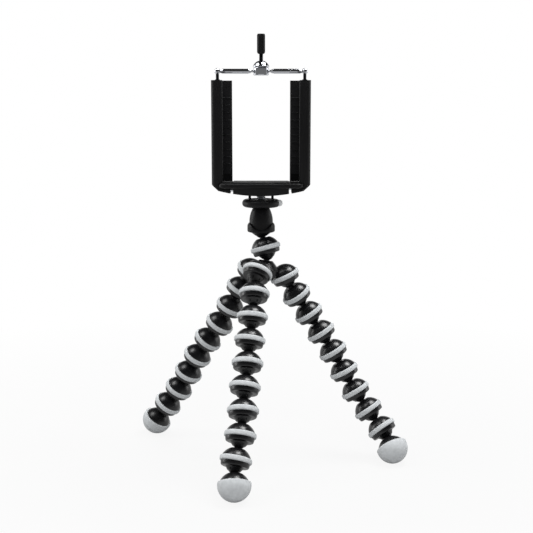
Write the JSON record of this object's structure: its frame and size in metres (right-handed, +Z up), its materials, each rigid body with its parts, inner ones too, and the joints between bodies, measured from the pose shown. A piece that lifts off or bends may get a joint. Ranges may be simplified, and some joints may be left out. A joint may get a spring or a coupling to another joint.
{
  "type": "flexible leg tripod",
  "caption": "Tripod with flexible legs of ball-jointed ringed links and a sliding-jaw phone holder on its camera screw.",
  "frame": {"origin": "on the floor in the middle of the box round the feet", "axes": "+Z up, -Y towards the viewer of the phone holder's open front, +X to that viewer's right"},
  "size_m": [0.1912, 0.1542, 0.2931],
  "materials": {
    "black_gloss_plastic": "glossy moulded",
    "black_satin_plastic": "satin moulded",
    "grey_plastic": "satin moulded",
    "grey_rubber": "matte moulded",
    "black_rubber": "matte moulded",
    "chrome": "polished plating",
    "steel": "turned",
    "dark_steel": "black oxide",
    "brass": "turned"
  },
  "bodies": {
    "hub": {"hub_body": "black_gloss_plastic", "hub_rings": "grey_rubber"},
    "neck": {"neck_link": "black_gloss_plastic"},
    "head": {"head_cup": "black_satin_plastic", "head_neck": "black_satin_plastic", "platform": "black_satin_plastic", "platform_pad": "black_rubber", "camera_screw": "steel"},
    "lock_button": {"lock_button": "grey_plastic"},
    "holder": {"holder_base": "black_satin_plastic", "thread_insert": "brass"},
    "jaw_left": {"jaw_left": "black_satin_plastic", "side_pad_left": "black_rubber", "back_pad_left": "black_rubber", "guide_rod_left": "chrome", "arm_left": "chrome", "arm_pin_left": "dark_steel"},
    "jaw_right": {"jaw_right": "black_satin_plastic", "side_pad_right": "black_rubber", "back_pad_right": "black_rubber", "guide_rod_right": "chrome", "arm_right": "chrome", "arm_pin_right": "dark_steel"},
    "spreader": {"spreader_rod": "chrome", "clamp_body": "chrome", "clamp_washer": "chrome", "clamp_dome": "chrome"},
    "thumb_screw": {"screw_stem": "dark_steel", "thumb_grip": "black_satin_plastic"},
    "front_link_1": {"front_link_1": "black_gloss_plastic"},
    "front_link_2": {"front_link_2": "black_gloss_plastic"},
    "front_link_3": {"front_link_3": "black_gloss_plastic"},
    "front_link_4": {"front_link_4": "black_gloss_plastic"},
    "front_link_5": {"front_link_5": "black_gloss_plastic"},
    "front_link_6": {"front_link_6": "black_gloss_plastic"},
    "front_link_7": {"front_link_7": "black_gloss_plastic"},
    "front_link_8": {"front_link_8": "black_gloss_plastic"},
    "front_foot": {"front_foot": "black_gloss_plastic", "front_foot_cap": "grey_rubber"},
    "right_link_1": {"right_link_1": "black_gloss_plastic"},
    "right_link_2": {"right_link_2": "black_gloss_plastic"},
    "right_link_3": {"right_link_3": "black_gloss_plastic"},
    "right_link_4": {"right_link_4": "black_gloss_plastic"},
    "right_link_5": {"right_link_5": "black_gloss_plastic"},
    "right_link_6": {"right_link_6": "black_gloss_plastic"},
    "right_link_7": {"right_link_7": "black_gloss_plastic"},
    "right_link_8": {"right_link_8": "black_gloss_plastic"},
    "right_foot": {"right_foot": "black_gloss_plastic", "right_foot_cap": "grey_rubber"},
    "left_link_1": {"left_link_1": "black_gloss_plastic"},
    "left_link_2": {"left_link_2": "black_gloss_plastic"},
    "left_link_3": {"left_link_3": "black_gloss_plastic"},
    "left_link_4": {"left_link_4": "black_gloss_plastic"},
    "left_link_5": {"left_link_5": "black_gloss_plastic"},
    "left_link_6": {"left_link_6": "black_gloss_plastic"},
    "left_link_7": {"left_link_7": "black_gloss_plastic"},
    "left_link_8": {"left_link_8": "black_gloss_plastic"},
    "left_foot": {"left_foot": "black_gloss_plastic", "left_foot_cap": "grey_rubber"}
  },
  "joints": [
    {"name": "holder_pan", "type": "hinge", "parent": "head", "child": "holder", "pos_m": [-0.00591, 0.02482, 0.18401], "axis": [0, 0, 1], "continuous": true},
    {"name": "jaw_left_slide", "type": "slide", "parent": "holder", "child": "jaw_left", "axis": [-1, 0, 0], "range_m": [0, 0.01]},
    {"name": "jaw_right_slide", "type": "slide", "parent": "holder", "child": "jaw_right", "axis": [1, 0, 0], "range_m": [0, 0.01]},
    {"name": "spreader_centre", "type": "slide", "parent": "jaw_left", "child": "spreader", "axis": [1, 0, 0], "range_m": [0, 0.01]},
    {"name": "thumb_screw_turn", "type": "hinge", "parent": "spreader", "child": "thumb_screw", "pos_m": [-0.00591, 0.03732, 0.26161], "axis": [0, 0, 1], "continuous": true},
    {"name": "lock_button_press", "type": "slide", "parent": "head", "child": "lock_button", "axis": [-1, 0, 0], "range_m": [0, 0.0012], "stiffness_N_per_m": 400},
    {"name": "head_tilt", "type": "hinge", "parent": "neck", "child": "head", "pos_m": [-0.00591, 0.02482, 0.15881], "axis": [1, 0, 0], "range_deg": [-28, 13]},
    {"name": "neck_tilt", "type": "hinge", "parent": "hub", "child": "neck", "pos_m": [-0.00171, 0.02277, 0.14351], "axis": [-0.0212, -0.9917, 0.1271], "range_deg": [-49, 2]},
    {"name": "front_joint_1", "type": "hinge", "parent": "hub", "child": "front_link_1", "pos_m": [-0.00979, 0.00488, 0.1297], "axis": [0.9945, -0.1045, 0], "range_deg": [-29, 14]},
    {"name": "front_joint_2", "type": "hinge", "parent": "front_link_1", "child": "front_link_2", "pos_m": [-0.01073, -0.00402, 0.11643], "axis": [-0.1561, -0.8851, 0.4384], "range_deg": [-22, 27]},
    {"name": "front_joint_3", "type": "hinge", "parent": "front_link_2", "child": "front_link_3", "pos_m": [-0.01195, -0.01093, 0.10205], "axis": [-0.9659, 0.2588, 0], "range_deg": [-26, 24]},
    {"name": "front_joint_4", "type": "hinge", "parent": "front_link_3", "child": "front_link_4", "pos_m": [-0.01383, -0.01794, 0.0878], "axis": [0.118, 0.8398, -0.5299], "range_deg": [-22, 28]},
    {"name": "front_joint_5", "type": "hinge", "parent": "front_link_4", "child": "front_link_5", "pos_m": [-0.01501, -0.02634, 0.07423], "axis": [0.9781, -0.2079, 0], "range_deg": [-25, 25]},
    {"name": "front_joint_6", "type": "hinge", "parent": "front_link_5", "child": "front_link_6", "pos_m": [-0.01677, -0.03463, 0.06066], "axis": [-0.0731, -0.8355, 0.5446], "range_deg": [-29, 22]},
    {"name": "front_joint_7", "type": "hinge", "parent": "front_link_6", "child": "front_link_7", "pos_m": [-0.01753, -0.04331, 0.04724], "axis": [-0.9744, 0.225, 0], "range_deg": [-24, 26]},
    {"name": "front_joint_8", "type": "hinge", "parent": "front_link_7", "child": "front_link_8", "pos_m": [-0.01944, -0.05157, 0.03367], "axis": [0.2901, 0.7969, -0.5299], "range_deg": [-29, 22]},
    {"name": "front_joint_9", "type": "hinge", "parent": "front_link_8", "child": "front_foot", "pos_m": [-0.02234, -0.05954, 0.0201], "axis": [1, 0, 0], "range_deg": [-18, 29]},
    {"name": "right_joint_1", "type": "hinge", "parent": "hub", "child": "right_link_1", "pos_m": [0.01237, 0.02348, 0.12408], "axis": [-0.2419, 0.9703, 0], "range_deg": [-15, 34]},
    {"name": "right_joint_2", "type": "hinge", "parent": "right_link_1", "child": "right_link_2", "pos_m": [0.02105, 0.02564, 0.11081], "axis": [0.8385, 0.0146, 0.5446], "range_deg": [-18, 33]},
    {"name": "right_joint_3", "type": "hinge", "parent": "right_link_2", "child": "right_link_3", "pos_m": [0.02976, 0.02579, 0.09739], "axis": [-0.0872, -0.9962, 0], "range_deg": [-25, 25]},
    {"name": "right_joint_4", "type": "hinge", "parent": "right_link_3", "child": "right_link_4", "pos_m": [0.03845, 0.02503, 0.08397], "axis": [-0.8417, 0.1033, -0.5299], "range_deg": [-27, 24]},
    {"name": "right_joint_5", "type": "hinge", "parent": "right_link_4", "child": "right_link_5", "pos_m": [0.04686, 0.024, 0.0704], "axis": [0.225, 0.9744, 0], "range_deg": [-28, 22]},
    {"name": "right_joint_6", "type": "hinge", "parent": "right_link_5", "child": "right_link_6", "pos_m": [0.05442, 0.02226, 0.05641], "axis": [0.7976, -0.2592, 0.5446], "range_deg": [-23, 28]},
    {"name": "right_joint_7", "type": "hinge", "parent": "right_link_6", "child": "right_link_7", "pos_m": [0.06271, 0.01956, 0.04299], "axis": [-0.3907, -0.9205, 0], "range_deg": [-30, 20]},
    {"name": "right_joint_8", "type": "hinge", "parent": "right_link_7", "child": "right_link_8", "pos_m": [0.07177, 0.01571, 0.03038], "axis": [-0.5991, 0.4195, -0.682], "range_deg": [-32, 18]},
    {"name": "right_joint_9", "type": "hinge", "parent": "right_link_8", "child": "right_foot", "pos_m": [0.08071, 0.00945, 0.01868], "axis": [0.8746, 0.4848, 0], "range_deg": [-12, 25]},
    {"name": "left_joint_1", "type": "hinge", "parent": "hub", "child": "left_link_1", "pos_m": [-0.01512, 0.03373, 0.12689], "axis": [-0.3256, -0.9455, 0], "range_deg": [-28, 20]},
    {"name": "left_joint_2", "type": "hinge", "parent": "left_link_1", "child": "left_link_2", "pos_m": [-0.02291, 0.03641, 0.11317], "axis": [-0.7716, 0.3932, 0.5], "range_deg": [-21, 30]},
    {"name": "left_joint_3", "type": "hinge", "parent": "left_link_2", "child": "left_link_3", "pos_m": [-0.03004, 0.04005, 0.09932], "axis": [0.4384, 0.8988, 0], "range_deg": [-30, 20]},
    {"name": "left_joint_4", "type": "hinge", "parent": "left_link_3", "child": "left_link_4", "pos_m": [-0.03829, 0.04407, 0.08621], "axis": [0.7199, -0.3205, -0.6157], "range_deg": [-24, 26]},
    {"name": "left_joint_5", "type": "hinge", "parent": "left_link_4", "child": "left_link_5", "pos_m": [-0.04729, 0.04807, 0.0736], "axis": [-0.5, -0.866, 0], "range_deg": [-30, 20]},
    {"name": "left_joint_6", "type": "hinge", "parent": "left_link_5", "child": "left_link_6", "pos_m": [-0.05483, 0.05243, 0.06018], "axis": [-0.7269, 0.4542, 0.515], "range_deg": [-24, 27]},
    {"name": "left_joint_7", "type": "hinge", "parent": "left_link_6", "child": "left_link_7", "pos_m": [-0.06182, 0.0568, 0.04647], "axis": [0.4384, 0.8988, 0], "range_deg": [-27, 23]},
    {"name": "left_joint_8", "type": "hinge", "parent": "left_link_7", "child": "left_link_8", "pos_m": [-0.06965, 0.06062, 0.03305], "axis": [0.7456, -0.2862, -0.6018], "range_deg": [-22, 28]},
    {"name": "left_joint_9", "type": "hinge", "parent": "left_link_8", "child": "left_foot", "pos_m": [-0.07864, 0.06407, 0.02027], "axis": [-0.342, -0.9397, 0], "range_deg": [-28, 23]}
  ],
  "couplings": [
    {"joint": "spreader_centre", "follows": "jaw_left_slide", "ratio": 1}
  ]
}
